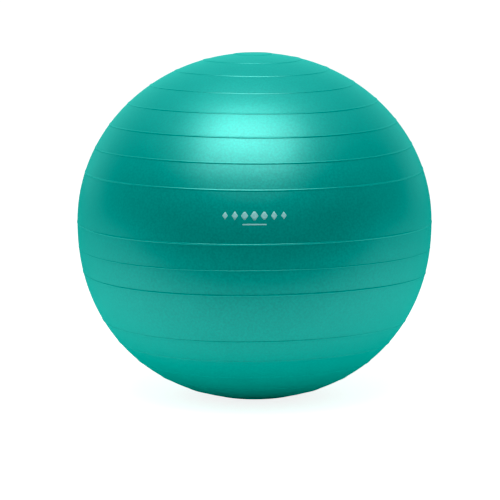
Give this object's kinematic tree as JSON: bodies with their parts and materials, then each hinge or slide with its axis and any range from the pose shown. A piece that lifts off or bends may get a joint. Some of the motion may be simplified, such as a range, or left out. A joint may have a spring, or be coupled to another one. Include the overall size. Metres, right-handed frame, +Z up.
{
  "type": "exercise ball",
  "caption": "Inflated exercise ball: ribbed hollow skin with a smooth band, a bonded valve seat and a push-in plug.",
  "frame": {"origin": "centre of the flat patch that the resting ball presses onto the floor", "axes": "+Z up through both poles of the ball; the ribs are level rings; the valve is on the +Y side and the smooth front is -Y"},
  "size_m": [0.6514, 0.6514, 0.6311],
  "materials": {
    "skin": "satin",
    "valve_seat": "satin",
    "plug": "satin"
  },
  "bodies": {
    "ball": {"ball_skin": "skin", "valve_insert": "valve_seat"},
    "plug": {"plug": "plug"}
  },
  "joints": [
    {"name": "plug_pull", "type": "slide", "parent": "ball", "child": "plug", "axis": [0, 0.9865, 0.1637], "range_m": [0, 0.04]}
  ]
}
